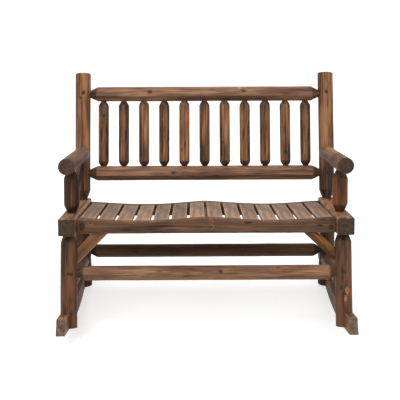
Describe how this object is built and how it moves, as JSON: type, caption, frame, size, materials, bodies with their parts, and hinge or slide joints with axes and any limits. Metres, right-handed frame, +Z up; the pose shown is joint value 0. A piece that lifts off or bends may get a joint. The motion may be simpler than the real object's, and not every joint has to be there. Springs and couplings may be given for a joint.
{
  "type": "rocking bench",
  "caption": "Rustic log rocking bench with a slatted, double-scooped seat, a reclined spindle back, log arms and curved rockers.",
  "frame": {"origin": "on the floor, under the middle of the bench's overall width and depth, as it stands at rest", "axes": "+Z up, -Y towards the front of the seat, +X along the seat to the sitter's left"},
  "size_m": [1.1, 0.9606, 0.897],
  "materials": {
    "log_wood": "scorched fir log, satin clear coat, dark streaks and knots",
    "rail_wood": "scorched fir rail, satin clear coat",
    "spindle_wood": "scorched fir spindle, satin clear coat",
    "board_wood": "scorched fir board, sanded edges",
    "slat_wood": "scorched and greyed fir slat, worn edges",
    "brace_wood": "scorched fir, striped grain",
    "dark_wood": "deeply scorched fir",
    "bolt_metal": "zinc plated steel"
  },
  "bodies": {
    "root": {"arm_left": "log_wood", "arm_post_left": "log_wood", "arm_post_right": "log_wood", "arm_right": "log_wood", "back_apron": "board_wood", "back_bottom_rail": "rail_wood", "back_leg_left": "log_wood", "back_leg_right": "log_wood", "back_post_left": "log_wood", "back_post_right": "log_wood", "back_stretcher": "dark_wood", "back_top_rail": "rail_wood", "corner_brace_left": "brace_wood", "corner_brace_right": "brace_wood", "front_apron": "board_wood", "front_leg_left": "log_wood", "front_leg_right": "log_wood", "front_stretcher": "rail_wood", "rocker_bolt_back_left": "bolt_metal", "rocker_bolt_back_right": "bolt_metal", "rocker_bolt_front_left": "bolt_metal", "rocker_bolt_front_right": "bolt_metal", "rocker_left": "board_wood", "rocker_right": "board_wood", "seat_beam_left": "log_wood", "seat_beam_right": "log_wood", "seat_bearer_back": "board_wood", "seat_bearer_front": "board_wood", "seat_centre_joist": "board_wood", "side_stretcher_left": "log_wood", "side_stretcher_right": "log_wood", "slat_01": "slat_wood", "slat_02": "slat_wood", "slat_03": "slat_wood", "slat_04": "slat_wood", "slat_05": "slat_wood", "slat_06": "slat_wood", "slat_07": "slat_wood", "slat_08": "slat_wood", "slat_09": "slat_wood", "slat_10": "slat_wood", "slat_11": "slat_wood", "slat_12": "slat_wood", "slat_13": "slat_wood", "slat_14": "slat_wood", "spindle_01": "spindle_wood", "spindle_02": "spindle_wood", "spindle_03": "spindle_wood", "spindle_04": "spindle_wood", "spindle_05": "spindle_wood", "spindle_06": "spindle_wood", "spindle_07": "spindle_wood", "spindle_08": "spindle_wood", "spindle_09": "spindle_wood", "spindle_10": "spindle_wood", "spindle_11": "spindle_wood"}
  },
  "joints": []
}
